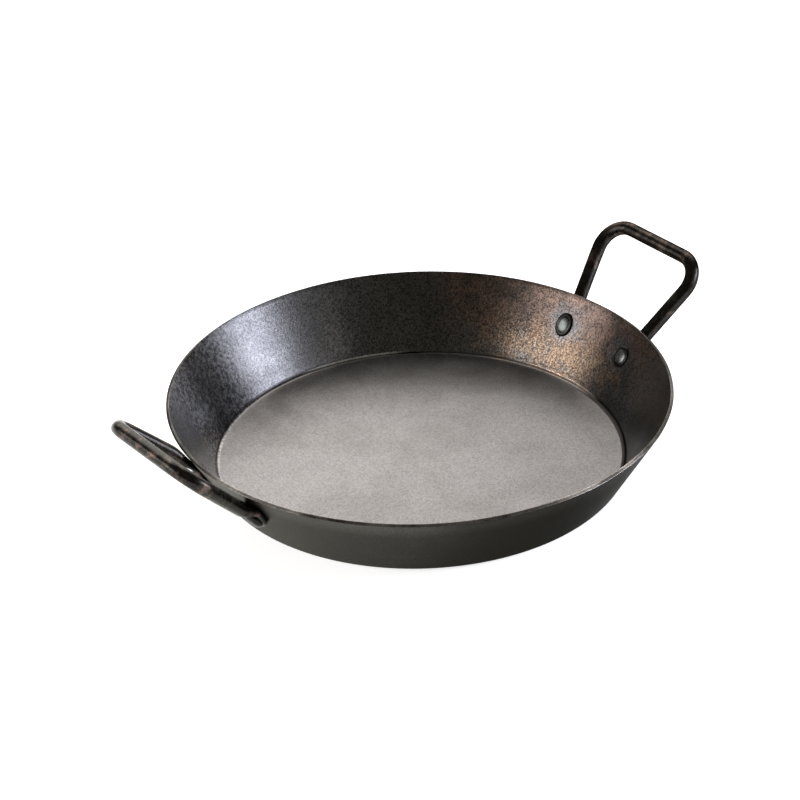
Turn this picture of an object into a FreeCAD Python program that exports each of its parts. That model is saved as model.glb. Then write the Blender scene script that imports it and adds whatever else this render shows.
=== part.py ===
"""Round pressed-steel pan with two fixed loop handles, each riveted to the wall through its flattened ends.

Units are millimetres. The origin is at the centre of the underside, +Z is up, and the handles lie along +X and -X.
"""

import FreeCAD, Part
import math
import os

from FreeCAD import Vector

# Driving dimensions of the pan
RIM_RADIUS = 190.5
HEIGHT = 60.0
SHEET = 2.7
WALL_LEAN = math.radians(30.4)
FLOOR_BEND = 4.0
RIM_BREAK = 0.3

# Driving dimensions of a handle, which is one bent rod
ROD_DIAMETER = 11.0
HANDLE_RISE = math.radians(46.1)
HANDLE_REACH = 239.8
HANDLE_TOP = 101.0
CORNER_HALF_SPACING = 54.5
CORNER_RADIUS = 20.0

# Each end of the rod is flattened to a tab that lies on the wall
TAB_WIDTH = 19.0
TAB_THICKNESS = 5.0
TAB_BELOW_RIVET = 9.5
TAB_ABOVE_RIVET = 8.0
TAB_SQUARENESS = 4.0
TAB_BEDDING = 0.3
TAPER_LENGTH = 13.0
TAPER_SECTIONS = 5
SECTION_POINTS = 24

# Driving dimensions of a rivet
RIVET_HEIGHT = 37.9
RIVET_HALF_SPACING = 34.2
SHANK_DIAMETER = 8.0
INNER_HEAD = {"radius": 8.6, "height": 2.2, "flat": 5.0, "edge": 0.6}
OUTER_HEAD = {"radius": 7.5, "height": 3.4, "flat": 2.5, "edge": 0.6}
HEAD_BEDDING = 0.4

# Derived dimensions
ROD_RADIUS = ROD_DIAMETER / 2
SIN_LEAN = math.sin(WALL_LEAN)
COS_LEAN = math.cos(WALL_LEAN)
TAN_LEAN = math.tan(WALL_LEAN)
FLOOR_RADIUS = RIM_RADIUS - SHEET * COS_LEAN - (HEIGHT - SHEET) * TAN_LEAN

UP = Vector(0, 0, 1)
ORIGIN = Vector(0, 0, 0)
JOIN_TOLERANCE = 0.0001
HANDLE_NAMES = ["handle_a", "handle_b"]


def profile_point(radius, height):
    """A point of the pan's half section, in the XZ plane."""
    return Vector(radius, 0, height)


def rounded_path(corners, radii):
    """A wire of straight runs joined by tangent arcs. radii holds one radius for each inner corner."""
    edges = []
    start = corners[0]
    for before, corner, after, radius in zip(corners, corners[1:], corners[2:], radii):
        back = (before - corner).normalize()
        ahead = (after - corner).normalize()
        half_angle = back.getAngle(ahead) / 2
        tangent_length = radius / math.tan(half_angle)
        arc_start = corner + back * tangent_length
        arc_end = corner + ahead * tangent_length
        middle_way = (back + ahead).normalize()
        arc_middle = corner + middle_way * (radius / math.sin(half_angle) - radius)
        edges.append(Part.LineSegment(start, arc_start).toShape())
        edges.append(Part.Arc(arc_start, arc_middle, arc_end).toShape())
        start = arc_end
    edges.append(Part.LineSegment(start, corners[-1]).toShape())
    return Part.Wire(edges)


def revolved(wire):
    """The solid that a closed half section in the XZ plane sweeps round the Z axis."""
    return Part.Face(wire).revolve(ORIGIN, UP, 360)


def solid_cone():
    """Everything inside the pan's outer surface, as one frustum that runs past the rim and the underside."""
    margin = HEIGHT
    foot_radius = FLOOR_RADIUS + SHEET / COS_LEAN - SHEET * TAN_LEAN
    lower = foot_radius - margin * TAN_LEAN
    upper = foot_radius + 2 * margin * TAN_LEAN
    return Part.makeCone(lower, upper, 3 * margin, Vector(0, 0, -margin), UP)


def rivet_frame(side):
    """The rivet's point on the inner wall and its outward axis, for side +1 or -1 of the +X handle."""
    radius = FLOOR_RADIUS + (RIVET_HEIGHT - SHEET) * TAN_LEAN
    turn = side * math.asin(RIVET_HALF_SPACING / radius)
    outward = Vector(math.cos(turn), math.sin(turn), 0)
    point = outward * radius + UP * RIVET_HEIGHT
    axis = outward * COS_LEAN - UP * SIN_LEAN
    return point, axis


def shank(side, length):
    """A cylinder on the rivet's axis, from inside the pan outwards."""
    point, axis = rivet_frame(side)
    reach = HEAD_BEDDING
    return Part.makeCylinder(SHANK_DIAMETER / 2, length + reach, point - axis * reach, axis)


def both_handles(shape):
    """The shape as it stands at the +X handle, and turned half round to the -X handle."""
    turned = shape.copy()
    turned.rotate(ORIGIN, UP, 180)
    return [shape, turned]


def pan_body():
    """One sheet pressed to a flat floor and a straight leaning wall, with a plain cut rim."""
    inner_lip = profile_point(RIM_RADIUS - SHEET * COS_LEAN, HEIGHT)
    outer_lip = profile_point(RIM_RADIUS, HEIGHT - SHEET * SIN_LEAN)
    inner_corner = profile_point(FLOOR_RADIUS, SHEET)
    outer_corner = profile_point(FLOOR_RADIUS + SHEET / COS_LEAN - SHEET * TAN_LEAN, 0)
    floor_centre = profile_point(0, SHEET)
    corners = [floor_centre, inner_corner, inner_lip, outer_lip, outer_corner, ORIGIN]
    radii = [FLOOR_BEND, RIM_BREAK, RIM_BREAK, FLOOR_BEND + SHEET]
    section = rounded_path(corners, radii)
    closing = Part.LineSegment(ORIGIN, floor_centre).toShape()
    sheet = revolved(Part.Wire(section.Edges + [closing]))
    holes = [hole for side in (1, -1) for hole in both_handles(shank(side, ROD_DIAMETER))]
    return sheet.cut(Part.makeCompound(holes))


def handle_corner(side):
    """The corner of the loop where a leg's line meets the end bar's line."""
    return Vector(HANDLE_REACH, side * CORNER_HALF_SPACING, HANDLE_TOP)


def tab_frame(side):
    """The tab's middle at the rivet, with its long direction up the wall and its thickness direction outward."""
    point, outward = rivet_frame(side)
    middle = point + outward * (SHEET + TAB_THICKNESS / 2 - TAB_BEDDING)
    leg = (handle_corner(side) - middle).normalize()
    along = (leg - outward * leg.dot(outward)).normalize()
    return middle, along, outward


def leg_start(side):
    """The point where the taper ends and the leg is a full round rod, in the handle's own sloping plane."""
    middle, along, outward = tab_frame(side)
    above_tab = middle + along * (TAB_ABOVE_RIVET + TAPER_LENGTH)
    plane_normal = Vector(-math.sin(HANDLE_RISE), 0, math.cos(HANDLE_RISE))
    off_plane = (above_tab - handle_corner(side)).dot(plane_normal)
    return above_tab - plane_normal * off_plane


def flat_section(centre, wide, thick, half_width, half_thickness, squareness):
    """A closed smooth outline between an ellipse (squareness 2) and a rounded rectangle (larger)."""
    points = []
    for i in range(SECTION_POINTS):
        angle = 2 * math.pi * i / SECTION_POINTS
        across = math.copysign(abs(math.cos(angle)) ** (2 / squareness), math.cos(angle))
        through = math.copysign(abs(math.sin(angle)) ** (2 / squareness), math.sin(angle))
        points.append(centre + wide * (half_width * across) + thick * (half_thickness * through))
    curve = Part.BSplineCurve()
    curve.interpolate(Points=points, PeriodicFlag=True)
    return Part.Wire(curve.toShape())


def circle_section(centre, wide, ahead):
    """The rod's round outline, with its seam on the wide side so that it lines up with the flat sections."""
    outline = Part.Circle(ORIGIN, UP, ROD_RADIUS).toShape()
    turn = FreeCAD.Rotation(wide, ahead.cross(wide), ahead, "ZXY")
    outline.Placement = FreeCAD.Placement(centre, turn)
    return Part.Wire(outline)


def blend(start, end, share):
    """A smooth step from start to end, for numbers and vectors."""
    weight = share * share * (3 - 2 * share)
    return start * (1 - weight) + end * weight


def taper(side):
    """The stretch where the flat tab turns into the round rod and bends away from the wall."""
    middle, along, outward = tab_frame(side)
    tab_end = middle + along * TAB_ABOVE_RIVET
    foot = leg_start(side)
    leg = (handle_corner(side) - foot).normalize()
    reach = (foot - tab_end).Length
    sections = []
    for i in range(TAPER_SECTIONS + 1):
        share = i / TAPER_SECTIONS
        # A cubic through both ends that leaves each of them along its own direction.
        start_weight = 1 - 3 * share**2 + 2 * share**3
        start_pull = reach * (share - 2 * share**2 + share**3)
        end_pull = reach * (share**3 - share**2)
        centre = (
            tab_end * start_weight + foot * (1 - start_weight) + along * start_pull + leg * end_pull
        )
        ahead = blend(along, leg, share).normalize()
        thick = (outward - ahead * outward.dot(ahead)).normalize()
        wide = thick.cross(ahead)
        if i == TAPER_SECTIONS:
            sections.append(circle_section(centre, wide, ahead))
            continue
        half_width = blend(TAB_WIDTH / 2, ROD_RADIUS, share)
        half_thickness = blend(TAB_THICKNESS / 2, ROD_RADIUS, share)
        squareness = blend(TAB_SQUARENESS, 2, share)
        sections.append(flat_section(centre, wide, thick, half_width, half_thickness, squareness))
    return Part.makeLoft(sections, True, False)


def tab(side):
    """The flattened end of the rod, with a round lower end."""
    middle, along, outward = tab_frame(side)
    wide = outward.cross(along)
    foot = middle - along * TAB_BELOW_RIVET
    length = TAB_BELOW_RIVET + TAB_ABOVE_RIVET
    outline = flat_section(foot, wide, outward, TAB_WIDTH / 2, TAB_THICKNESS / 2, TAB_SQUARENESS)
    slab = Part.Face(outline).extrude(along * length)
    half = TAB_WIDTH / 2
    left = foot + along * half + wide * half
    right = foot + along * half - wide * half
    top_left = left + along * length
    top_right = right + along * length
    edges = [
        Part.Arc(left, foot, right).toShape(),
        Part.LineSegment(right, top_right).toShape(),
        Part.LineSegment(top_right, top_left).toShape(),
        Part.LineSegment(top_left, left).toShape(),
    ]
    plan = Part.Face(Part.Wire(edges))
    plan.translate(outward * -TAB_THICKNESS)
    return slab.common(plan.extrude(outward * (2 * TAB_THICKNESS)))


def rod():
    """The round part of the handle: two legs and the end bar, in one sloping plane."""
    feet = [leg_start(side) for side in (1, -1)]
    corners = [handle_corner(side) for side in (1, -1)]
    path = rounded_path([feet[0], corners[0], corners[1], feet[1]], [CORNER_RADIUS, CORNER_RADIUS])
    leg = (corners[0] - feet[0]).normalize()
    outward = tab_frame(1)[2]
    thick = (outward - leg * outward.dot(leg)).normalize()
    outline = circle_section(feet[0], thick.cross(leg), leg)
    return path.makePipeShell([outline], True, True)


def handle():
    """The +X handle: one rod bent to a loop, with both ends flattened, bedded on the wall and drilled."""
    pieces = [piece for side in (1, -1) for piece in (taper(side), tab(side))]
    whole = rod().fuse(pieces, JOIN_TOLERANCE).removeSplitter()
    holes = [shank(side, SHEET + 2 * TAB_THICKNESS) for side in (1, -1)]
    return whole.cut(Part.makeCompound([solid_cone()] + holes))


def head(base, axis, sizes):
    """A low rivet head with a flat middle and a rounded shoulder, its base sunk a little below the surface."""
    shoulder_rise = sizes["height"] - sizes["edge"]
    sunk = -HEAD_BEDDING
    shoulder_run = sizes["radius"] - sizes["flat"]
    middle_angle = math.radians(45)
    start = Vector(sizes["radius"], 0, sizes["edge"])
    middle = Vector(
        sizes["flat"] + shoulder_run * math.cos(middle_angle),
        0,
        sizes["edge"] + shoulder_rise * math.sin(middle_angle),
    )
    end = Vector(sizes["flat"], 0, sizes["height"])
    edges = [
        Part.LineSegment(Vector(0, 0, sunk), Vector(sizes["radius"], 0, sunk)).toShape(),
        Part.LineSegment(Vector(sizes["radius"], 0, sunk), start).toShape(),
        Part.Arc(start, middle, end).toShape(),
        Part.LineSegment(end, Vector(0, 0, sizes["height"])).toShape(),
        Part.LineSegment(Vector(0, 0, sizes["height"]), Vector(0, 0, sunk)).toShape(),
    ]
    shape = revolved(Part.Wire(edges))
    shape.Placement = FreeCAD.Placement(base, FreeCAD.Rotation(UP, axis))
    return shape


def rivet(side, sheet, loop):
    """A solid rivet through wall and tab, with a wide low head inside and a smaller closed head outside."""
    point, axis = rivet_frame(side)
    outer_face = SHEET + TAB_THICKNESS - TAB_BEDDING
    inner = head(point, axis * -1, INNER_HEAD)
    outer = head(point + axis * outer_face, axis, OUTER_HEAD)
    whole = shank(side, outer_face + HEAD_BEDDING).fuse([inner, outer]).removeSplitter()
    return whole.cut(Part.makeCompound([sheet, loop]))


def export(name, shape):
    """Write one piece as one closed solid."""
    solid = shape.Solids[0]
    assert len(shape.Solids) == 1 and solid.isValid(), name
    solid.exportStep(os.path.join("parts", name + ".step"))
    print(name, "volume", round(solid.Volume, 1), "faces", len(solid.Faces))


def main():
    os.makedirs("parts", exist_ok=True)
    sheet = pan_body()
    loop = handle()
    export("pan_body", sheet)
    for name, shape in zip(HANDLE_NAMES, both_handles(loop)):
        export(name, shape)
    for side, side_name in ((1, "left"), (-1, "right")):
        fastener = rivet(side, sheet, loop)
        for name, shape in zip(HANDLE_NAMES, both_handles(fastener)):
            export(name + "_rivet_" + side_name, shape)


main()
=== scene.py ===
import math

import bmesh
import bpy
from mathutils import Matrix, Vector, noise


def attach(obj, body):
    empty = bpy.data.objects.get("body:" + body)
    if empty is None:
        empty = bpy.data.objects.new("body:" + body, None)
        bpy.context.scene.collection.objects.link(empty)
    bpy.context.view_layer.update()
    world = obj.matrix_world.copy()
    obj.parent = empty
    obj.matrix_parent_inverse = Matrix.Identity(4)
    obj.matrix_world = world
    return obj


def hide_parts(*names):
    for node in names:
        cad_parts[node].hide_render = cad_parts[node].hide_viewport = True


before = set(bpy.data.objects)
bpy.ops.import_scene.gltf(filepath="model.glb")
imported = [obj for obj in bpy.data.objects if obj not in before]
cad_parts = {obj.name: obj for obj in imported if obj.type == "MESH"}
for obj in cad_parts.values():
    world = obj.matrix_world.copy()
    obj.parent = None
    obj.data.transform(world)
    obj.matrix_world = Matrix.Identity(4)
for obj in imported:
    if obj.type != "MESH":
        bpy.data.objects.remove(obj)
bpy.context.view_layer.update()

# A round pressed-steel pan with two riveted loop handles, in the frame's own coordinates: the origin is at
# the centre of the underside, +Z is up, handle_a is on +X and handle_b on -X. Each handle is made on the +X
# side and, for handle_b, turned half round.

# ---------------------------------------------------------------- sizes, in metres
MM = 0.001
RIM_RADIUS = 190.5 * MM
PAN_HEIGHT = 60.0 * MM
SHEET = 2.7 * MM
WALL_LEAN = math.radians(30.4)
FLOOR_BEND = 4.0 * MM
RIM_BREAK = 0.3 * MM
ROD_RADIUS = 5.49 * MM
HANDLE_RISE = math.radians(46.1)
HANDLE_CORNER = Vector((239.8, 54.5, 101.0)) * MM
CORNER_RADIUS = 20.0 * MM
TAB_WIDTH = 19.0 * MM
TAB_THICKNESS = 5.0 * MM
TAB_BELOW_RIVET = 9.5 * MM
TAB_ABOVE_RIVET = 8.0 * MM
TAB_SQUARENESS = 4.0
TAPER_LENGTH = 13.0 * MM
RIVET_HEIGHT = 37.9 * MM
RIVET_HALF_SPACING = 34.2 * MM
SHANK_RADIUS = 4.0 * MM
BEDDING = 0.3 * MM
INNER_HEAD = {
    "radius": 8.6 * MM,
    "height": 2.2 * MM,
    "flat": 6.2 * MM,
    "edge": 0.6 * MM,
    "dome": 0.75 * MM,
}
OUTER_HEAD = {
    "radius": 7.5 * MM,
    "height": 3.4 * MM,
    "flat": 2.5 * MM,
    "edge": 0.6 * MM,
    "dome": 0,
}

# The lowest rings of a head, as shares of its edge's height, and the step from the crown's painted highlight
# to the dark shoulder, as shares of its radius. Rings narrower than DENTED_RADIUS are dented.
HEAD_EDGE_SHARES = (0.6, 0.25, -0.3)
HIGHLIGHT_REACH = (0.56, 0.72)
DENTED_RADIUS = 0.98 * OUTER_HEAD["radius"]

# The gap between touching pieces, how far inside the heads the shank's ends are, and the length of a hole
CONTACT_GAP = 0.02 * MM
SHANK_START, SHANK_SHORTFALL = 0.2 * MM, 0.1 * MM
HOLE_DEPTH = 3 * TAB_THICKNESS

# The outlines of a tab's round lower end, in degrees down from its widest, and its thinning towards the tip
TAB_END_ANGLES = (82, 74, 64, 54, 44, 34, 24, 12)
TAB_END_THINNING = 0.35
THINNING_ANGLES = (60, 82)

# How each hammered inner head is drawn out: its width, its height and the turn of its long axis.
HEAD_OVALS = {
    "handle_a_rivet_left": (0.86, 1.15, math.radians(8)),
    "handle_a_rivet_right": (0.88, 1.02, math.radians(15)),
    "handle_b_rivet_left": (0.96, 1.04, math.radians(-6)),
    "handle_b_rivet_right": (0.98, 1.02, math.radians(10)),
}

SIN_LEAN, COS_LEAN, TAN_LEAN = math.sin(WALL_LEAN), math.cos(WALL_LEAN), math.tan(WALL_LEAN)
FLOOR_RADIUS = RIM_RADIUS - SHEET * COS_LEAN - (PAN_HEIGHT - SHEET) * TAN_LEAN
OUTER_FOOT = FLOOR_RADIUS + SHEET / COS_LEAN - SHEET * TAN_LEAN
UP = Vector((0, 0, 1))

# How far the pressing is from a perfect figure. The floor's corner stands further out on one side. Each
# pair is the start and the end of a smooth step: OFFSET_SPREAD by the cosine of the angle from that side,
# OFFSET_REACH and FLAT_MIDDLE by the share of the floor's radius, OFFSET_HEIGHT by height and WAVY_SIDES by
# the sine of the angle from the plane through both handles.
FLOOR_OFFSET = 1.0 * MM
OFFSET_SIDE = Vector((math.cos(math.radians(78)), math.sin(math.radians(78)), 0))
OFFSET_SPREAD = (-0.17, 0.42)
OFFSET_REACH = (0.8, 0.98)
OFFSET_HEIGHT = (5 * MM, 26 * MM)
WAVY_SIDES = (0.3, 0.9)
FLAT_MIDDLE = (0.8, 0.97)
WALL_WAVE, WALL_WAVE_LENGTH = 0.6 * MM, 85 * MM
FLOOR_WAVE, FLOOR_WAVE_LENGTH = 0.16 * MM, 48 * MM

# How far two legs are bent out of true, and the stretches of X and Y in which the bend sets in or ends
LEG_SPLAY = 2.0 * MM
SPLAY_X = (178 * MM, 226 * MM)
SPLAY_Y = (-40 * MM, 45 * MM)
LEG_LIFT = 6.0 * MM
LIFT_START_X = (176 * MM, 194 * MM)
LIFT_END_X = (192 * MM, 236 * MM)
LIFT_Y = (10 * MM, 30 * MM)

# Small unevenness of the worked steel
TAB_DENTS = 0.12 * MM
TAPER_DENTS = 0.1 * MM
ROD_DENTS = 0.05 * MM
ROD_DENT_LENGTH = 9 * MM
RIVET_DENTS = 0.09 * MM
RIVET_DENT_LENGTH = 5 * MM

# How finely the meshes are cut: segments round an axis or a rod, and rows along a section or a path
PAN_SEGMENTS = 360
ROD_SEGMENTS = 40
RIVET_SEGMENTS = 64
HOLE_SEGMENTS = 48
FLOOR_ROWS, UNDERSIDE_ROWS, WALL_ROWS = 36, 24, 20
INNER_BEND_ROWS, OUTER_BEND_ROWS = 8, 10
EDGE_ROWS, BREAK_ROWS = 4, 4
TAB_ROWS, TAPER_ROWS, LEG_ROWS, CORNER_ROWS, BAR_ROWS = 6, 10, 12, 18, 8
CROWN_ROWS, SHOULDER_ROWS, SHANK_ROWS = 8, 12, 4

# ---------------------------------------------------------------- the view
VIEW_AZIMUTH = math.radians(53.6)
VIEW_DROP = math.radians(30.32)
VIEW_ROLL = math.radians(-2.14)
VIEW_DISTANCE = 2.099
VIEW_TARGET = Vector((9.2, 37.6, 29.0)) * MM
LENS = 122.94
SENSOR = 36.0
VIEW_FAR = 50

# The way the camera looks along the floor, and the way to its right
LOOK = Vector((math.cos(VIEW_AZIMUTH), math.sin(VIEW_AZIMUTH), 0))
RIGHT = Vector((math.sin(VIEW_AZIMUTH), -math.cos(VIEW_AZIMUTH), 0))

# ---------------------------------------------------------------- the studio's light
FLOOR_REACH = 12.0
FLOOR_GLOW = 0.75
BACKDROP_TOP = math.radians(55)
BACKDROP_FADE = math.radians(18)
BACKDROP_SIDES = (math.radians(28), math.radians(54))
BACKDROP_LIGHT = (3.8, 3.7, 3.62)
DIM_LIGHT = (0.17, 0.155, 0.13)

# Near the horizon the backdrop is dimmer, and least dim at the right.
HORIZON_TURN = (math.radians(-20), math.radians(20))
HORIZON_RISE = (math.radians(10), math.radians(28))
HORIZON_LEFT = 0.08
HORIZON_RIGHT = 0.36

# Each softbox: its name, its direction in degrees clockwise from straight beyond the pan, its height above
# the floor, its width, how tall it is, its radiance and its colour.
SOFTBOX_DISTANCE = 1.6
SOFTBOXES = (
    ("right_box", 91, 0.52, 0.74, 0.6, 13.4, (0.91, 0.95, 1.14)),
    ("right_fill", 122, 0.62, 1.0, 0.7, 0.7, (1.0, 0.99, 1.0)),
    ("left_box", -103, 0.55, 1.3, 0.6, 5.5, (1.0, 0.98, 0.98)),
)


# ---------------------------------------------------------------- small helpers
def ramp(low, high, value):
    """0 below low, 1 above high and straight between them."""
    return min(1.0, max(0.0, (value - low) / (high - low)))


def smooth(low, high, value):
    """0 below low, 1 above high and a smooth step between them."""
    share = ramp(low, high, value)
    return share * share * (3 - 2 * share)


def blend(start, end, share):
    """A smooth step from start to end, for numbers and vectors."""
    weight = smooth(0, 1, share)
    return start * (1 - weight) + end * weight


def steps(start, end, count):
    """count + 1 evenly spaced numbers from start to end."""
    return [start + (end - start) * i / count for i in range(count + 1)]


def roughen(point, grain, depth):
    """A soft random offset along one axis: grain is the size of its waves."""
    return noise.noise(point / grain) * depth


def half_turned(vector, turned):
    """The vector as it is for handle_a, or turned half round the pan's axis for handle_b."""
    flip = -1 if turned else 1
    return Vector((vector.x * flip, vector.y * flip, vector.z))


def tube_faces(rows, segments):
    """The faces of a closed tube whose points are that many rings, with a flat cap at each end."""
    faces = [tuple(range(segments))]
    for row in range(rows - 1):
        here, there = row * segments, (row + 1) * segments
        for i in range(segments):
            after = (i + 1) % segments
            faces.append((here + i, here + after, there + after, there + i))
    last = (rows - 1) * segments
    faces.append(tuple(last + i for i in range(segments)))
    return faces


def mesh_object(name, points, faces, slots):
    """A smooth-shaded mesh object. slots gives each face's material slot."""
    mesh = bpy.data.meshes.new(name)
    mesh.from_pydata(points, [], faces)
    mesh.polygons.foreach_set("use_smooth", [True] * len(faces))
    mesh.polygons.foreach_set("material_index", slots)
    mesh.validate()
    shape = bpy.data.objects.new(name, mesh)
    bpy.context.scene.collection.objects.link(shape)
    return shape


def face_outward(shape):
    """Turns every face of a closed mesh outward."""
    work = bmesh.new()
    work.from_mesh(shape.data)
    bmesh.ops.recalc_face_normals(work, faces=work.faces)
    work.to_mesh(shape.data)
    work.free()


def drill(shape, cutters):
    """Cuts each hidden cylinder out of the shape."""
    for cutter in cutters:
        hole = shape.modifiers.new("hole", "BOOLEAN")
        hole.operation = "DIFFERENCE"
        hole.solver = "EXACT"
        hole.object = cutter
    bpy.context.view_layer.update()
    evaluated = shape.evaluated_get(bpy.context.evaluated_depsgraph_get())
    cut = bpy.data.meshes.new_from_object(evaluated)
    shape.modifiers.clear()
    shape.data = cut


# ---------------------------------------------------------------- the pan
def arc(centre, radius, start, end, count):
    """Points of an arc in the half section, as (radius from the axis, height)."""
    angles = [math.radians(a) for a in steps(start, end, count)]
    return [(centre[0] + radius * math.cos(a), centre[1] + radius * math.sin(a)) for a in angles]


def line(start, end, count):
    """Evenly spaced points of a straight run, without its ends."""
    shares = steps(0, 1, count)[1:-1]
    return [(start[0] + (end[0] - start[0]) * s, start[1] + (end[1] - start[1]) * s) for s in shares]


def pan_section():
    """The pan's half section from the middle of the floor over the rim to the middle of the underside.

    Each entry is (radius, height, material slot): 0 inside, 1 rim edge, 2 outside."""
    lean = math.degrees(WALL_LEAN)
    bend_centre = (FLOOR_RADIUS - FLOOR_BEND * math.tan(math.radians(45 - lean / 2)), SHEET + FLOOR_BEND)
    inner_bend = arc(bend_centre, FLOOR_BEND, -90, -lean, INNER_BEND_ROWS)
    outer_bend = arc(bend_centre, FLOOR_BEND + SHEET, -lean, -90, OUTER_BEND_ROWS)
    along, across = (SIN_LEAN, COS_LEAN), (COS_LEAN, -SIN_LEAN)
    inner_lip = (RIM_RADIUS - SHEET * COS_LEAN, PAN_HEIGHT)
    outer_lip = (RIM_RADIUS, PAN_HEIGHT - SHEET * SIN_LEAN)
    inner_centre = [inner_lip[i] + RIM_BREAK * (across[i] - along[i]) for i in (0, 1)]
    outer_centre = [outer_lip[i] - RIM_BREAK * (across[i] + along[i]) for i in (0, 1)]
    inner_break = arc(inner_centre, RIM_BREAK, 180 - lean, 90 - lean, BREAK_ROWS)
    outer_break = arc(outer_centre, RIM_BREAK, 90 - lean, -lean, BREAK_ROWS)
    floor = [(0, SHEET)] + line((0, SHEET), inner_bend[0], FLOOR_ROWS)
    inside = floor + inner_bend + line(inner_bend[-1], inner_break[0], WALL_ROWS) + inner_break[:2]
    edge = inner_break[2:] + line(inner_break[-1], outer_break[0], EDGE_ROWS) + outer_break[:3]
    outside = outer_break[3:] + line(outer_break[-1], outer_bend[0], WALL_ROWS) + outer_bend
    under = line(outer_bend[-1], (0, 0), UNDERSIDE_ROWS) + [(0, 0)]
    rows = ((inside, 0), (edge, 1), (outside + under, 2))
    return [(radius, height, slot) for points, slot in rows for radius, height in points]


def settle(point):
    """Moves a point of the perfect figure to where the real, slightly uneven pressing has it.

    The floor's corner stands a little further out on one side. The wall waves a little inward away from
    the handles, and the floor is not quite flat."""
    radial = Vector((point.x, point.y, 0))
    outward = radial.normalized()
    foot = smooth(*OFFSET_REACH, radial.length / FLOOR_RADIUS) * (1 - smooth(*OFFSET_HEIGHT, point.z))
    side = smooth(*OFFSET_SPREAD, outward.dot(OFFSET_SIDE))
    point = point + outward * (FLOOR_OFFSET * foot * side)
    if radial.length > FLOOR_RADIUS:
        away = smooth(*WAVY_SIDES, abs(point.y) / radial.length)
        rise = smooth(0, 1, point.z / PAN_HEIGHT)
        wave = abs(roughen(Vector((point.x, point.y, 0)), WALL_WAVE_LENGTH, WALL_WAVE))
        return point - outward * (wave * away * rise)
    if point.z > SHEET / 2:
        inner = 1 - smooth(*FLAT_MIDDLE, radial.length / FLOOR_RADIUS)
        return point + UP * (roughen(point, FLOOR_WAVE_LENGTH, FLOOR_WAVE) * inner)
    return point


def make_pan():
    """The pressed sheet, as its half section turned round the axis."""
    section = pan_section()
    points, faces, slots = [], [], []
    for radius, height, _ in section[1:-1]:
        for i in range(PAN_SEGMENTS):
            turn = 2 * math.pi * i / PAN_SEGMENTS
            points.append(settle(Vector((radius * math.cos(turn), radius * math.sin(turn), height))))
    top, bottom = len(points), len(points) + 1
    points += [Vector((0, 0, SHEET)), Vector((0, 0, 0))]
    rows = len(section) - 2
    for i in range(PAN_SEGMENTS):
        after = (i + 1) % PAN_SEGMENTS
        faces.append((top, i, after))
        slots.append(section[1][2])
        for row in range(rows - 1):
            here, there = row * PAN_SEGMENTS, (row + 1) * PAN_SEGMENTS
            faces.append((here + i, there + i, there + after, here + after))
            slots.append(section[row + 2][2])
        last = (rows - 1) * PAN_SEGMENTS
        faces.append((last + i, bottom, last + after))
        slots.append(section[-1][2])
    pan = mesh_object("pan", points, faces, slots)
    face_outward(pan)
    return pan


# ---------------------------------------------------------------- the handles
def rivet_frame(side):
    """The rivet's point on the inner wall and its outward axis, for side +1 or -1 of the +X handle."""
    radius = FLOOR_RADIUS + (RIVET_HEIGHT - SHEET) * TAN_LEAN
    turn = side * math.asin(RIVET_HALF_SPACING / radius)
    outward = Vector((math.cos(turn), math.sin(turn), 0))
    return outward * radius + UP * RIVET_HEIGHT, outward * COS_LEAN - UP * SIN_LEAN


def ring(centre, wide, thick, half_width, half_thickness, squareness, dents):
    """One closed outline of the rod, between an ellipse (squareness 2) and a rounded rectangle."""
    outline = []
    for i in range(ROD_SEGMENTS):
        angle = 2 * math.pi * i / ROD_SEGMENTS
        across = math.copysign(abs(math.cos(angle)) ** (2 / squareness), math.cos(angle))
        through = math.copysign(abs(math.sin(angle)) ** (2 / squareness), math.sin(angle))
        dip = 1 - abs(roughen(centre + wide * across * ROD_RADIUS, ROD_DENT_LENGTH, dents / ROD_RADIUS))
        offset = wide * (half_width * across) + thick * (half_thickness * through)
        outline.append(clear_of_wall(centre + offset * dip))
    return outline


def clear_of_wall(point):
    """Moves a point that would be inside the pan's wall out onto its outer face."""
    radial = Vector((point.x, point.y, 0))
    depth = (OUTER_FOOT + point.z * TAN_LEAN - radial.length) * COS_LEAN + CONTACT_GAP
    if depth <= 0 or point.z > PAN_HEIGHT:
        return point
    return point + (radial.normalized() * COS_LEAN - UP * SIN_LEAN) * depth


def tab_rings(middle, along, outward):
    """The flattened end, from its round lower edge to where it starts to taper."""
    wide = outward.cross(along)
    half = TAB_WIDTH / 2
    straight_start = half - TAB_BELOW_RIVET
    outlines = []
    for angle in TAB_END_ANGLES:
        turn = math.radians(angle)
        place = straight_start - half * math.sin(turn)
        thinned = 1 - TAB_END_THINNING * smooth(*THINNING_ANGLES, angle)
        outlines.append((place, half * math.cos(turn), TAB_THICKNESS / 2 * thinned))
    straight = steps(straight_start, TAB_ABOVE_RIVET, TAB_ROWS)
    outlines += [(place, half, TAB_THICKNESS / 2) for place in straight]
    return [
        ring(middle + along * place, wide, outward, width, thickness, TAB_SQUARENESS, TAB_DENTS)
        for place, width, thickness in outlines
    ]


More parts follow.
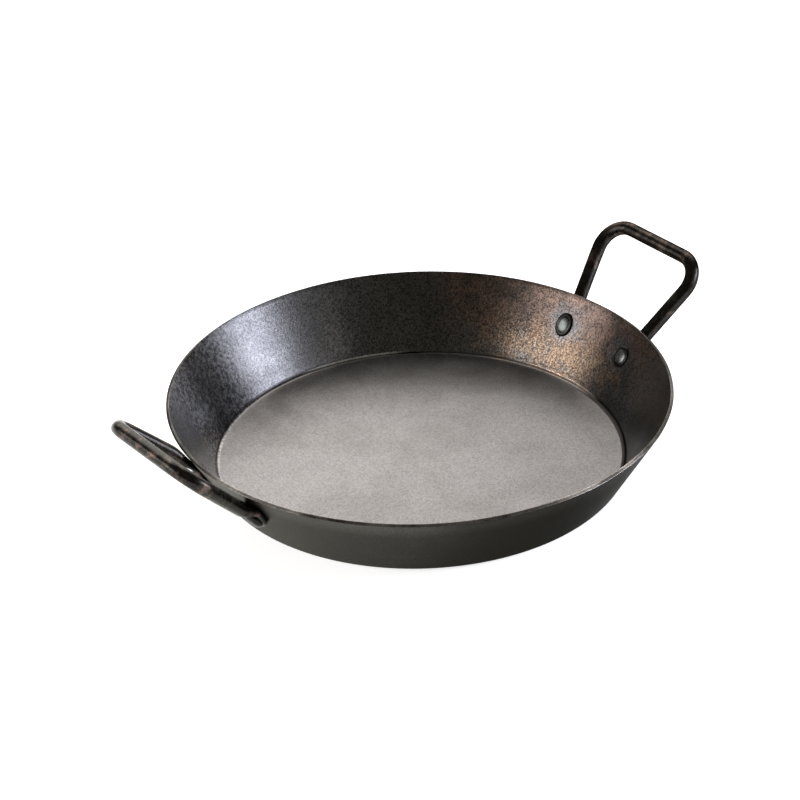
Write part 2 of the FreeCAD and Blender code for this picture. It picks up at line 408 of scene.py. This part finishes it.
def taper_rings(middle, along, outward, foot, leg, plane_normal):
    """The stretch where the flat tab turns into the round rod and bends away from the wall."""
    tab_end = middle + along * TAB_ABOVE_RIVET
    reach = (foot - tab_end).length
    rings = []
    for share in steps(0, 1, TAPER_ROWS)[1:]:
        # A cubic that leaves the tab along the tab and reaches the leg's foot along the leg.
        start_weight = 1 - 3 * share**2 + 2 * share**3
        start_pull = reach * (share - 2 * share**2 + share**3)
        end_pull = reach * (share**3 - share**2)
        centre = tab_end * start_weight + foot * (1 - start_weight) + along * start_pull + leg * end_pull
        ahead = blend(along, leg, share).normalized()
        facing = blend(outward, plane_normal, share)
        thick = (facing - ahead * facing.dot(ahead)).normalized()
        half_width = blend(TAB_WIDTH / 2, ROD_RADIUS, share)
        half_thickness = blend(TAB_THICKNESS / 2, ROD_RADIUS, share)
        squareness = blend(TAB_SQUARENESS, 2, share)
        wide = thick.cross(ahead)
        rings.append(ring(centre, wide, thick, half_width, half_thickness, squareness, TAPER_DENTS))
    return rings


def loop_rings(foot, leg, plane_normal):
    """Half of the loop: a straight leg, a round corner and half of the end bar."""
    inward = Vector((0, -1, 0))
    half_angle = (-leg).angle(inward) / 2
    tangent = CORNER_RADIUS / math.tan(half_angle)
    arc_start = HANDLE_CORNER - leg * tangent
    centre = HANDLE_CORNER + (inward - leg).normalized() * (CORNER_RADIUS / math.sin(half_angle))
    path = [(foot + (arc_start - foot) * share, leg) for share in steps(0, 1, LEG_ROWS)[1:-1]]
    spoke = (arc_start - centre).normalized()
    sweep = math.pi - 2 * half_angle
    for turn in steps(0, sweep, CORNER_ROWS):
        out = spoke * math.cos(turn) + leg * math.sin(turn)
        path.append((centre + out * CORNER_RADIUS, leg * math.cos(turn) - spoke * math.sin(turn)))
    bar_start = HANDLE_CORNER + inward * tangent
    path += [(bar_start + inward * (bar_start.y * share), inward) for share in steps(0, 1, BAR_ROWS)[1:]]
    return [
        ring(place, plane_normal.cross(ahead), plane_normal, ROD_RADIUS, ROD_RADIUS, 2, ROD_DENTS)
        for place, ahead in path
    ]


def half_handle():
    """Rings from the left tab's end to the middle of the end bar, on the +X handle."""
    point, outward = rivet_frame(1)
    middle = point + outward * (SHEET + TAB_THICKNESS / 2 - BEDDING)
    toward = (HANDLE_CORNER - middle).normalized()
    along = (toward - outward * toward.dot(outward)).normalized()
    plane_normal = Vector((math.sin(HANDLE_RISE), 0, -math.cos(HANDLE_RISE)))
    above_tab = middle + along * (TAB_ABOVE_RIVET + TAPER_LENGTH)
    foot = above_tab - plane_normal * (above_tab - HANDLE_CORNER).dot(plane_normal)
    leg = (HANDLE_CORNER - foot).normalized()
    rings = tab_rings(middle, along, outward)
    rings += taper_rings(middle, along, outward, foot, leg, plane_normal)
    return rings + loop_rings(foot, leg, plane_normal)


def mirrored(point):
    """The point on the other side of the plane through both handles."""
    return Vector((point.x, -point.y, point.z))


def splayed(point):
    """handle_a's left leg is bent out a little further than its right one."""
    share = smooth(*SPLAY_X, point.x) * smooth(*SPLAY_Y, point.y)
    return point + Vector((0, LEG_SPLAY * share, 0))


def lifted(point):
    """handle_b's leg on the +Y side leaves the rim a little higher than the other legs do.

    The point is still on the +X side, where that leg is the one on -Y."""
    share = smooth(*LIFT_START_X, point.x) * (1 - ramp(*LIFT_END_X, point.x))
    return clear_of_wall(point + UP * (LEG_LIFT * share * smooth(*LIFT_Y, -point.y)))


def make_handle(name, turned):
    """One bent rod, as a single tube with closed flat ends. turned puts it on the other side of the pan."""
    half = half_handle()
    rings = half + [[mirrored(point) for point in outline] for outline in reversed(half[:-1])]
    bent = lifted if turned else splayed
    points = [half_turned(bent(point), turned) for outline in rings for point in outline]
    faces = tube_faces(len(rings), ROD_SEGMENTS)
    handle = mesh_object(name, points, faces, [0] * len(faces))
    face_outward(handle)
    return handle


# ---------------------------------------------------------------- the rivets
def head_section(sizes, base, direction):
    """Half section of a rivet head as (radius, place on the axis), from its crown's middle to its base."""
    run = sizes["radius"] - sizes["flat"]
    rise = sizes["height"] - sizes["dome"] - sizes["edge"]
    points = []
    for share in steps(0, 1, CROWN_ROWS)[1:]:
        crown = sizes["height"] - sizes["dome"] * share**3
        points.append((sizes["flat"] * share, base + direction * crown))
    for turn in steps(90, 0, SHOULDER_ROWS)[1:]:
        angle = math.radians(turn)
        place = base + direction * (sizes["edge"] + rise * math.sin(angle))
        points.append((sizes["flat"] + run * math.cos(angle), place))
    points += [(sizes["radius"], base + direction * sizes["edge"] * share) for share in HEAD_EDGE_SHARES]
    return points


def bed_inner_head(point):
    """Keeps the underside of the inner head on the wall's curved inner face."""
    radial = Vector((point.x, point.y, 0))
    depth = (radial.length - FLOOR_RADIUS - (point.z - SHEET) * TAN_LEAN) * COS_LEAN + CONTACT_GAP
    if depth <= 0:
        return point
    return point - (radial.normalized() * COS_LEAN - UP * SIN_LEAN) * depth


def make_rivet(node, side, turned):
    """A solid rivet: wide low head inside, shank through wall and tab, smaller head outside."""
    origin, axis = rivet_frame(side)
    across = UP.cross(axis).normalized()
    upward = axis.cross(across)
    wide, tall, lean = HEAD_OVALS[node]
    long_axis = upward * math.cos(lean) - across * math.sin(lean)
    short_axis = across * math.cos(lean) + upward * math.sin(lean)
    outer_base = SHEET + TAB_THICKNESS - BEDDING
    inner = head_section(INNER_HEAD, 0, -1)
    outer = head_section(OUTER_HEAD, outer_base, 1)
    shank_places = steps(SHANK_START, outer_base - SHANK_SHORTFALL, SHANK_ROWS)
    section = inner + [(SHANK_RADIUS, place) for place in shank_places] + outer[::-1]
    other_dents = -1 if turned else 1
    points = []
    for row, (radius, place) in enumerate(section):
        in_head = row < len(inner)
        for i in range(RIVET_SEGMENTS):
            turn = 2 * math.pi * i / RIVET_SEGMENTS
            if in_head:
                out = short_axis * math.cos(turn) * wide + long_axis * math.sin(turn) * tall
            else:
                out = across * math.cos(turn) + upward * math.sin(turn)
            spot = origin + axis * place + out * radius
            if radius < DENTED_RADIUS:
                spot = spot + axis * roughen(spot * other_dents, RIVET_DENT_LENGTH, RIVET_DENTS)
            if in_head:
                spot = bed_inner_head(spot)
            points.append(half_turned(spot, turned))
    faces = tube_faces(len(section), RIVET_SEGMENTS)
    rivet = mesh_object(node + "_steel", points, faces, [0] * len(faces))
    face_outward(rivet)
    return rivet


def hole_cutter(side, turned):
    """A hidden cylinder on the rivet's axis, for drilling the wall and the tab."""
    origin, axis = (half_turned(vector, turned) for vector in rivet_frame(side))
    work = bmesh.new()
    size = SHANK_RADIUS + CONTACT_GAP
    bmesh.ops.create_cone(
        work, cap_ends=True, segments=HOLE_SEGMENTS, radius1=size, radius2=size, depth=HOLE_DEPTH
    )
    turn = axis.to_track_quat("Z", "Y").to_matrix().to_4x4()
    work.transform(Matrix.Translation(origin + axis * (SHEET + TAB_THICKNESS) / 2) @ turn)
    mesh = bpy.data.meshes.new("cutter")
    work.to_mesh(mesh)
    work.free()
    cutter = bpy.data.objects.new("cutter", mesh)
    bpy.context.scene.collection.objects.link(cutter)
    return cutter


# ---------------------------------------------------------------- materials
WHITE = (1.0, 1.0, 1.0)
SEASONING_DARK, SEASONING_PALE = (0.070, 0.069, 0.068), (0.094, 0.092, 0.090)
BRONZE_SHADE = (0.060, 0.050, 0.044)
BRONZE_LOW, BRONZE_HIGH = (0.122, 0.084, 0.060), (0.120, 0.086, 0.072)
BLUED = (0.078, 0.082, 0.088)
BRASS_FLECK = (0.21, 0.172, 0.125)
FLOOR_DARK, FLOOR_PALE = (0.112, 0.107, 0.103), (0.156, 0.150, 0.146)
# The sheen within the bend's painted shade
BEND_SHADE_SHEEN = (0.52, 0.50, 0.48)
EDGE_DARK, EDGE_PALE, EDGE_SHEEN = (0.055, 0.052, 0.049), (0.120, 0.113, 0.105), (0.45, 0.44, 0.42)
# The outside's pale colour and its near sheen paint a reflection towards handle_b.
OUTSIDE_DARK, OUTSIDE_PAINTED_LIGHT = (0.014, 0.0138, 0.0124), (0.048, 0.047, 0.042)
OUTSIDE_SHEEN_NEAR, OUTSIDE_SHEEN_FAR = (0.76, 0.75, 0.71), (0.46, 0.46, 0.45)
ROD_OXIDE, ROD_COPPER = (0.026, 0.025, 0.023), (0.120, 0.088, 0.073)
# handle_b's stronger rod sheen is a painted highlight.
ROD_SHEEN_A, ROD_SHEEN_B = (0.36, 0.35, 0.34), (0.95, 0.95, 0.92)
# The rivets' own dark steel, and on the inner crown a painted highlight
RIVET_DARK, RIVET_PAINTED_HIGHLIGHT = (0.020, 0.020, 0.019), (0.125, 0.135, 0.130)

# A noise pattern's usual value
MEAN_NOISE = 0.48

# Stretches of the round: the direction of the middle in degrees from +X, how many degrees from there the
# stretch is full and how many degrees from there it ends.
# Painted light on the wall, standing for a reflection
PAINTED_LIGHT_SIDE = (162, 20, 37)
# Painted shade low on the wall
PAINTED_SHADE_SIDE = (-50, 12, 24)
SPOTTED_SIDE = (127, 8, 22)
FAINT_SIDE = (97, 10, 24)
# Painted shade in the bend between floor and wall
BEND_SHADE_SIDE = (-34, 24, 38)
# Painted shade on the rim edge's outer half
EDGE_SHADE_SIDE = (132, 34, 54)

# The same, with the change in paleness that the rim's edge has there, for its painted highlights
PAINTED_EDGE_HIGHLIGHTS = (((-84, 5, 17), 3.0), ((-166, 6, 16), 2.8))

# The bend between floor and wall carries narrow painted lines: painted highlights in some stretches and
# painted shade in others.
# Each line is its height above the floor, its half width and its stretches, each with its change.
PAINTED_BEND_LINES = (
    (
        0.5 * MM,
        0.6 * MM,
        (
            ((118, 30, 45), 0.12),
            ((15, 12, 22), 0.5),
            ((70, 12, 22), -0.62),
            ((45, 8, 18), -0.6),
            ((143, 10, 22), -0.35),
        ),
    ),
    (1.3 * MM, 0.8 * MM, (((8, 10, 20), 4.5), ((73, 6, 18), 5.2))),
    (2.0 * MM, 1.1 * MM, (((118, 30, 45), -0.6),)),
    (3.9 * MM, 1.1 * MM, (((15, 12, 22), -0.25),)),
)


class Nodes:
    """The few node shapes that every material and the studio's light are made from."""

    def put(self, socket, value):
        """Links an output to a socket, or sets the socket to a plain value."""
        if isinstance(value, bpy.types.NodeSocket):
            self.links.new(value, socket)
        else:
            socket.default_value = value

    def work_out(self, operation, first, second=0.0):
        """One operation on one or two numbers."""
        node = self.nodes.new("ShaderNodeMath")
        node.operation = operation
        self.put(node.inputs[0], first)
        self.put(node.inputs[1], second)
        return node.outputs[0]

    def add(self, first, *others):
        for other in others:
            first = self.work_out("ADD", first, other)
        return first

    def times(self, first, *others):
        for other in others:
            first = self.work_out("MULTIPLY", first, other)
        return first

    def less(self, first, second):
        return self.work_out("SUBTRACT", first, second)

    def spread(self, value, low, high, start=0.0, end=1.0):
        """A smooth step: start where value is below low, end where it is above high."""
        node = self.nodes.new("ShaderNodeMapRange")
        node.interpolation_type = "SMOOTHSTEP"
        self.put(node.inputs["Value"], value)
        node.inputs["From Min"].default_value = low
        node.inputs["From Max"].default_value = high
        node.inputs["To Min"].default_value = start
        node.inputs["To Max"].default_value = end
        return node.outputs["Result"]

    def mix(self, share, first, second):
        """The first colour where share is 0 and the second where it is 1."""
        node = self.nodes.new("ShaderNodeMix")
        node.data_type = "RGBA"
        self.put(node.inputs["Factor"], share)
        for socket, colour in ((node.inputs[6], first), (node.inputs[7], second)):
            self.put(socket, colour if isinstance(colour, bpy.types.NodeSocket) else (*colour, 1))
        return node.outputs[2]


class World(Nodes):
    """The studio's light, by the direction that it comes from."""

    def __init__(self, name):
        self.world = bpy.data.worlds.new(name)
        self.world.use_nodes = True
        self.nodes = self.world.node_tree.nodes
        self.links = self.world.node_tree.links
        self.way = self.nodes.new("ShaderNodeTexCoord").outputs["Generated"]

    def along(self, axis):
        """How far the direction points along an axis, from -1 to 1."""
        node = self.nodes.new("ShaderNodeVectorMath")
        node.operation = "DOT_PRODUCT"
        self.links.new(self.way, node.inputs[0])
        node.inputs[1].default_value = axis
        return node.outputs["Value"]


class Finish(Nodes):
    """One material. Its patterns are laid out in the frame's own coordinates, in metres."""

    def __init__(self, name):
        self.material = bpy.data.materials.new(name)
        self.material.use_nodes = True
        self.nodes = self.material.node_tree.nodes
        self.links = self.material.node_tree.links
        self.shader = self.nodes["Principled BSDF"]
        self.place = self.nodes.new("ShaderNodeTexCoord").outputs["Object"]
        parts = self.nodes.new("ShaderNodeSeparateXYZ")
        self.links.new(self.place, parts.inputs[0])
        self.x, self.y, self.z = parts.outputs

    def noise(self, grain, detail=3.0, rough=0.55, twist=0.0):
        """Noise between about 0.2 and 0.8 whose features are about one grain long."""
        node = self.nodes.new("ShaderNodeTexNoise")
        node.inputs["Scale"].default_value = 1 / grain
        node.inputs["Detail"].default_value = detail
        node.inputs["Roughness"].default_value = rough
        node.inputs["Distortion"].default_value = twist
        self.links.new(self.place, node.inputs["Vector"])
        return node.outputs["Fac"]

    def shade(self, colour, amount):
        """The colour times a number."""
        node = self.nodes.new("ShaderNodeVectorMath")
        node.operation = "SCALE"
        self.put(node.inputs[0], colour)
        self.put(node.inputs["Scale"], amount)
        return node.outputs[0]

    def bump(self, height, depth):
        """Relief of that depth."""
        node = self.nodes.new("ShaderNodeBump")
        node.inputs["Distance"].default_value = depth
        self.links.new(height, node.inputs["Height"])
        return node.outputs["Normal"]

    def from_axis(self):
        """Distance from the pan's axis."""
        return self.work_out("SQRT", self.add(self.times(self.x, self.x), self.times(self.y, self.y)))

    def toward(self, degrees, near, far):
        """1 within near degrees of that direction round the axis, 0 beyond far degrees."""
        angle = math.radians(degrees)
        reach = self.add(self.times(self.x, math.cos(angle)), self.times(self.y, math.sin(angle)))
        cosine = self.work_out("DIVIDE", reach, self.from_axis())
        return self.spread(cosine, math.cos(math.radians(far)), math.cos(math.radians(near)))

    def band(self, value, middle, half_width):
        """1 where the value is at the middle, fading to 0 at the half width from it."""
        away = self.work_out("ABSOLUTE", self.less(value, middle))
        return self.spread(away, half_width * 0.3, half_width, 1, 0)

    def from_rivets(self):
        """Distance from the nearest rivet's inner head."""
        nearest = None
        for side in (1, -1):
            for turned in (False, True):
                node = self.nodes.new("ShaderNodeVectorMath")
                node.operation = "DISTANCE"
                self.links.new(self.place, node.inputs[0])
                node.inputs[1].default_value = half_turned(rivet_frame(side)[0], turned)
                away = node.outputs["Value"]
                nearest = away if nearest is None else self.work_out("MINIMUM", nearest, away)
        return nearest

    def sheen(self, colour):
        """The tint of the reflection at a low angle, where bare metal would be white."""
        self.put(self.shader.inputs["Specular Tint"], colour)

    def finish(self, colour, rough, normal):
        """Puts the patterns on the shader and returns the material."""
        self.put(self.shader.inputs["Base Color"], colour)
        self.put(self.shader.inputs["Roughness"], rough)
        self.links.new(normal, self.shader.inputs["Normal"])
        self.shader.inputs["Metallic"].default_value = 1
        return self.material


def bronze_colour(f, clouds, blotches):
    """The heat tint round handle_a, browner low on the wall and redder near the rim, in patches."""
    patches = f.spread(f.add(blotches, f.times(clouds, 0.6)), 0.60, 0.95)
    tint = f.mix(f.spread(f.z, 22 * MM, 48 * MM), BRONZE_LOW, BRONZE_HIGH)
    return f.mix(patches, BRONZE_SHADE, tint)


def wall_painted_light_and_spots(f):
    """How pale the wall is: paler in one stretch, a painted light standing for a reflection, darker low down
    in another, a painted shade, and spotted.
    """
    painted_light = f.times(f.toward(*PAINTED_LIGHT_SIDE), 2.3)
    painted_shade = f.times(f.toward(*PAINTED_SHADE_SIDE), f.spread(f.z, 16 * MM, 40 * MM, 0.5, 0))
    level = f.less(f.add(painted_light, 1.0), painted_shade)
    spots = f.spread(f.noise(3.2 * MM, 2, 0.6), 0.38, 0.62, 0.55, 1.4)
    spotted = f.add(f.times(f.toward(*SPOTTED_SIDE), 1.1), 0.14)
    return f.times(level, f.add(f.times(spotted, f.less(spots, 1.0)), 1.0))


def wall_speckle(f, grain):
    """The wall's fine pitting, fainter in one stretch."""
    speckle = f.less(f.spread(grain, 0.32, 0.64, 0.35, 1.55), 1.0)
    strength = f.less(1.0, f.times(f.toward(*FAINT_SIDE), 0.4))
    return f.add(f.times(speckle, strength), 1.0)


def wall_colour(f, grain, clouds, blotches):
    """The bowl's wall: dark seasoning, with bronze and blue heat tints and brass flecks round handle_a."""
    colour = f.mix(f.spread(clouds, 0.35, 0.65), SEASONING_DARK, SEASONING_PALE)
    reach = f.add(f.times(f.x, 0.978), f.times(f.y, 0.208), f.times(blotches, 40 * MM))
    colour = f.mix(f.spread(reach, 155 * MM, 186 * MM), colour, bronze_colour(f, clouds, blotches))
    near_rivet = f.add(f.from_rivets(), f.times(blotches, 18 * MM))
    colour = f.mix(f.spread(near_rivet, 16 * MM, 30 * MM, 0.85, 0), colour, BLUED)
    flecks = f.times(
        f.spread(grain, 0.53, 0.62),
        f.spread(reach, 160 * MM, 182 * MM),
        f.spread(f.z, 18 * MM, 46 * MM, 0.42, 0),
    )
    colour = f.mix(flecks, colour, BRASS_FLECK)
    return f.shade(f.shade(colour, wall_painted_light_and_spots(f)), wall_speckle(f, grain))


def floor_colour(f, grain, clouds):
    """The bowl's floor: paler, clouded, with painted shade darkening it towards the +X, -Y side, and a few
    pinholes.
    """
    colour = f.mix(f.spread(clouds, 0.34, 0.64), FLOOR_DARK, FLOOR_PALE)
    # Painted shade: darker towards the +X, -Y side.
    across = f.add(f.less(f.times(f.x, 0.87), f.times(f.y, 0.5)), f.times(clouds, 60 * MM))
    pinholes = f.spread(f.noise(1.3 * MM, 1, 0.5), 0.63, 0.72, 1, 0.66)
    level = f.times(f.spread(across, -70 * MM, 170 * MM, 1.05, 0.75), pinholes)
    return f.shade(f.shade(colour, level), f.spread(grain, 0.32, 0.64, 0.78, 1.19))


def painted_bend_shade(f, radius):
    """1 in the bend on the -Y side, where a painted shade darkens the bend to a narrow dark line."""
    bend = f.spread(radius, FLOOR_RADIUS - 2.9 * MM, FLOOR_RADIUS - 1.9 * MM)
    low = f.spread(f.z, SHEET + 1.2 * MM, SHEET + 3 * MM, 1, 0)
    return f.times(bend, low, f.toward(*BEND_SHADE_SIDE))


def painted_bend_light(f, radius, bend_shade):
    """How pale the bend between floor and wall is, with its painted shade and its narrow painted lines of
    highlight and shade.
    """
    level = f.less(1.0, f.times(bend_shade, 0.82))
    ring = f.spread(radius, FLOOR_RADIUS - 3.5 * MM, FLOOR_RADIUS - 2 * MM)
    for height, half_width, stretches in PAINTED_BEND_LINES:
        line = f.times(f.band(f.z, SHEET + height, half_width), ring)
        for stretch, change in stretches:
            level = f.add(level, f.times(line, f.toward(*stretch), change))
    return level


def pitted_grain(f, radius):
    """The fine grain of the seasoning, calmer in the bend between floor and wall."""
    pits = f.noise(2.0 * MM, 2, 0.6)
    fine = f.noise(1.0 * MM, 1, 0.5)
    grain = f.add(f.times(pits, 0.5), f.times(fine, 0.5))
    calm = f.times(f.band(radius, FLOOR_RADIUS, 3 * MM), 0.7)
    return f.less(grain, f.times(f.less(grain, MEAN_NOISE), calm))


def inside_finish():
    """Baked-on seasoning inside the bowl, pitted on the wall and smoother on the floor."""
    f = Finish("seasoned_inside")
    radius = f.from_axis()
    floor = f.spread(radius, FLOOR_RADIUS - 1.5 * MM, FLOOR_RADIUS + 0.8 * MM, 1, 0)
    clouds = f.noise(60 * MM, 5, 0.6, 0.6)
    blotches = f.noise(14 * MM, 4, 0.6, 0.4)
    grain = pitted_grain(f, radius)
    bend_shade = painted_bend_shade(f, radius)
    colour = f.mix(floor, wall_colour(f, grain, clouds, blotches), floor_colour(f, grain, clouds))
    colour = f.shade(colour, painted_bend_light(f, radius, bend_shade))
    # The bend's painted shade also takes the sheen down there.
    f.sheen(f.mix(bend_shade, WHITE, BEND_SHADE_SHEEN))
    wall_rough = f.spread(blotches, 0.3, 0.7, 0.27, 0.31)
    floor_rough = f.spread(clouds, 0.3, 0.7, 0.33, 0.40)
    rough = f.add(f.times(wall_rough, f.less(1.0, floor)), f.times(floor_rough, floor))
    relief = f.spread(radius, FLOOR_RADIUS + 0.5 * MM, FLOOR_RADIUS + 3.5 * MM, 0.35, 1)
    return f.finish(colour, rough, f.bump(f.times(f.noise(1.5 * MM, 1, 0.4), relief), 0.08 * MM))


def edge_finish():
    """The sheared rim: painted highlights in two stretches, and painted shade on its outer half in another.
    """
    f = Finish("rim_edge")
    patches = f.noise(30 * MM, 4, 0.6)
    fine = f.noise(0.9 * MM, 2, 0.5)
    colour = f.mix(f.spread(patches, 0.4, 0.62), EDGE_DARK, EDGE_PALE)
    colour = f.shade(colour, f.spread(fine, 0.3, 0.7, 0.6, 1.3))
    outer_half = f.spread(f.from_axis(), RIM_RADIUS - 1.5 * MM, RIM_RADIUS - 0.8 * MM)
    level = f.less(1.3, f.times(outer_half, f.toward(*EDGE_SHADE_SIDE)))
    for stretch, change in PAINTED_EDGE_HIGHLIGHTS:
        level = f.add(level, f.times(f.toward(*stretch), change))
    colour = f.shade(colour, level)
    f.sheen((*EDGE_SHEEN, 1))
    return f.finish(colour, f.spread(patches, 0.3, 0.7, 0.3, 0.42), f.bump(fine, 0.03 * MM))


def outside_finish():
    """Darker, smoother seasoning outside and underneath; paler with a stronger sheen towards handle_b, a
    painted reflection, and paler near the rim, a painted highlight.
    """
    f = Finish("seasoned_outside")
    clouds = f.noise(45 * MM, 4, 0.6, 0.5)
    speckle = f.noise(1.6 * MM, 2, 0.6)
    reach = f.less(f.x, f.times(clouds, 50 * MM))
    # Paler towards handle_b: a painted reflection.
    colour = f.mix(f.spread(reach, -200 * MM, -80 * MM, 1, 0), OUTSIDE_DARK, OUTSIDE_PAINTED_LIGHT)
    for level in (
        f.spread(clouds, 0.3, 0.7, 0.88, 1.12),
        f.spread(speckle, 0.3, 0.7, 0.8, 1.2),
        # Paler near the rim: a painted highlight.
        f.spread(f.z, 42 * MM, 56 * MM, 0.92, 1.7),
    ):
        colour = f.shade(colour, level)
    # A stronger sheen towards handle_b: a painted reflection.
    f.sheen(f.mix(f.spread(f.x, -190 * MM, 30 * MM), OUTSIDE_SHEEN_NEAR, OUTSIDE_SHEEN_FAR))
    return f.finish(colour, f.spread(clouds, 0.3, 0.7, 0.40, 0.48), f.bump(speckle, 0.04 * MM))


def rod_finish():
    """Smooth dark oxide on the handles, with copper-brown rubs, fewer on handle_a, and a stronger sheen on
    handle_b that is a painted highlight.
    """
    f = Finish("oxidised_rod")
    rubs = f.noise(12 * MM, 5, 0.6, 0.6)
    grain = f.noise(1.2 * MM, 2, 0.6)
    bare = f.times(f.spread(rubs, 0.50, 0.70), f.spread(f.x, -100 * MM, 100 * MM, 1, 0.65))
    colour = f.mix(bare, ROD_OXIDE, ROD_COPPER)
    colour = f.shade(colour, f.spread(grain, 0.3, 0.7, 0.7, 1.25))
    # Painted highlight: handle_b's rod gets the stronger sheen.
    f.sheen(f.mix(f.spread(f.x, -100 * MM, 100 * MM, 1, 0), ROD_SHEEN_A, ROD_SHEEN_B))
    return f.finish(colour, f.spread(rubs, 0.3, 0.7, 0.22, 0.34), f.bump(grain, 0.03 * MM))


def rivet_finish():
    """Rivet steel: dark, with a painted highlight on the inner head's crown that leaves its shoulder dark.
    """
    f = Finish("rivet_steel")
    grain = f.noise(1.0 * MM, 2, 0.6)
    patches = f.noise(5 * MM, 3, 0.6)
    crown = f.nodes.new("ShaderNodeAttribute")
    crown.attribute_name = "crown"
    highlight = f.times(crown.outputs["Fac"], f.spread(patches, 0.2, 0.55, 0.8, 1))
    colour = f.mix(highlight, RIVET_DARK, RIVET_PAINTED_HIGHLIGHT)
    colour = f.shade(colour, f.spread(grain, 0.3, 0.7, 0.8, 1.15))
    return f.finish(colour, f.spread(grain, 0.3, 0.7, 0.26, 0.36), f.bump(grain, 0.03 * MM))


# ---------------------------------------------------------------- the studio
def add_camera():
    """The camera, aimed along the photograph's viewing angle."""
    ahead = LOOK * math.cos(VIEW_DROP) - UP * math.sin(VIEW_DROP)
    above = RIGHT.cross(ahead)
    side = RIGHT * math.cos(VIEW_ROLL) + above * math.sin(VIEW_ROLL)
    top = above * math.cos(VIEW_ROLL) - RIGHT * math.sin(VIEW_ROLL)
    camera = bpy.data.objects.new("camera", bpy.data.cameras.new("camera"))
    camera.data.lens = LENS
    camera.data.sensor_width = SENSOR
    camera.data.clip_end = VIEW_FAR
    turn = Matrix((side, top, -ahead)).transposed().to_4x4()
    camera.matrix_world = Matrix.Translation(VIEW_TARGET - ahead * VIEW_DISTANCE) @ turn
    bpy.context.scene.collection.objects.link(camera)
    bpy.context.scene.camera = camera


def add_softbox(name, turn, height, width, tall, radiance, colour):
    """A rectangular lamp that faces the pan."""
    lamp = bpy.data.lights.new(name, "AREA")
    lamp.shape = "RECTANGLE"
    lamp.size = width
    lamp.size_y = tall
    lamp.energy = radiance * math.pi * width * tall
    lamp.color = colour
    angle = math.radians(turn)
    place = (LOOK * math.cos(angle) + RIGHT * math.sin(angle)) * SOFTBOX_DISTANCE + UP * height
    box = bpy.data.objects.new(name, lamp)
    box.matrix_world = Matrix.Translation(place) @ place.to_track_quat("Z", "Y").to_matrix().to_4x4()
    bpy.context.scene.collection.objects.link(box)


def add_tent():
    """The light from all round: a bright backdrop beyond the pan, up to half way, and dim elsewhere."""
    tent = World("studio_tent")
    beyond, right, up = (tent.along(axis) for axis in (LOOK, RIGHT, UP))
    turn = tent.work_out("ARCTAN2", right, beyond)
    wide = tent.spread(tent.work_out("ABSOLUTE", turn), *BACKDROP_SIDES, 1, 0)
    tall = tent.spread(up, math.sin(BACKDROP_TOP), math.sin(BACKDROP_TOP + BACKDROP_FADE), 1, 0)
    low = tent.spread(turn, *HORIZON_TURN, HORIZON_LEFT, HORIZON_RIGHT)
    high = tent.spread(up, *(math.sin(angle) for angle in HORIZON_RISE))
    even = tent.add(high, tent.times(low, tent.less(1.0, high)))
    glow = tent.times(wide, tall, even)
    colour = tent.mix(glow, DIM_LIGHT, BACKDROP_LIGHT)
    tent.links.new(colour, tent.nodes["Background"].inputs["Color"])
    bpy.context.scene.world = tent.world


def add_floor():
    """A plain pale floor, far larger than the view."""
    mesh = bpy.data.meshes.new("studio_floor")
    corners = [(x * FLOOR_REACH, y * FLOOR_REACH, 0) for x, y in ((-1, -1), (1, -1), (1, 1), (-1, 1))]
    mesh.from_pydata(corners, [], [(0, 1, 2, 3)])
    floor = bpy.data.objects.new("studio_floor", mesh)
    bpy.context.scene.collection.objects.link(floor)
    card = Finish("studio_floor")
    card.shader.inputs["Base Color"].default_value = (0.94, 0.94, 0.94, 1)
    card.shader.inputs["Roughness"].default_value = 0.9
    card.shader.inputs["Specular IOR Level"].default_value = 0.1
    card.shader.inputs["Emission Color"].default_value = (1, 1, 1, 1)
    card.shader.inputs["Emission Strength"].default_value = FLOOR_GLOW
    mesh.materials.append(card.material)


# ---------------------------------------------------------------- putting it together
def paint(piece, *materials):
    """Gives the piece its materials, in the order of its slots."""
    for material in materials:
        piece.data.materials.append(material)


def place_piece(piece, node):
    """Puts the piece on the frame in place of its CAD node."""
    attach(piece, "root")
    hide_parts(node)


def mark_crown(rivet, side, turned):
    """Stores 1 on the middle of a rivet's inner crown, where its painted highlight goes, fading to 0 at its
    shoulder and everywhere else.
    """
    origin, axis = rivet_frame(side)
    crown = rivet.data.attributes.new("crown", "FLOAT", "POINT")
    for vertex, value in zip(rivet.data.vertices, crown.data):
        spot = half_turned(vertex.co, turned) - origin
        radius = (spot - axis * spot.dot(axis)).length
        inner = 1 if spot.dot(axis) < SHEET / 2 else 0
        value.value = inner * (1 - smooth(*HIGHLIGHT_REACH, radius / INNER_HEAD["radius"]))


def build():
    """Makes every piece. The rivet holes are cut once the wall and the rods have their materials."""
    pan = make_pan()
    paint(pan, inside_finish(), edge_finish(), outside_finish())
    rod, steel = rod_finish(), rivet_finish()
    cutters = []
    for name, turned in (("handle_a", False), ("handle_b", True)):
        handle = make_handle(name + "_rod", turned)
        paint(handle, rod)
        own = [hole_cutter(side, turned) for side in (1, -1)]
        drill(handle, own)
        place_piece(handle, name)
        cutters += own
        for side_name, side in (("left", 1), ("right", -1)):
            node = name + "_rivet_" + side_name
            rivet = make_rivet(node, side, turned)
            paint(rivet, steel)
            mark_crown(rivet, side, turned)
            place_piece(rivet, node)
    drill(pan, cutters)
    place_piece(pan, "pan_body")
    for cutter in cutters:
        bpy.data.objects.remove(cutter)


add_camera()
add_floor()
add_tent()
for softbox in SOFTBOXES:
    add_softbox(*softbox)
bpy.context.scene.view_settings.view_transform = "Standard"
build()
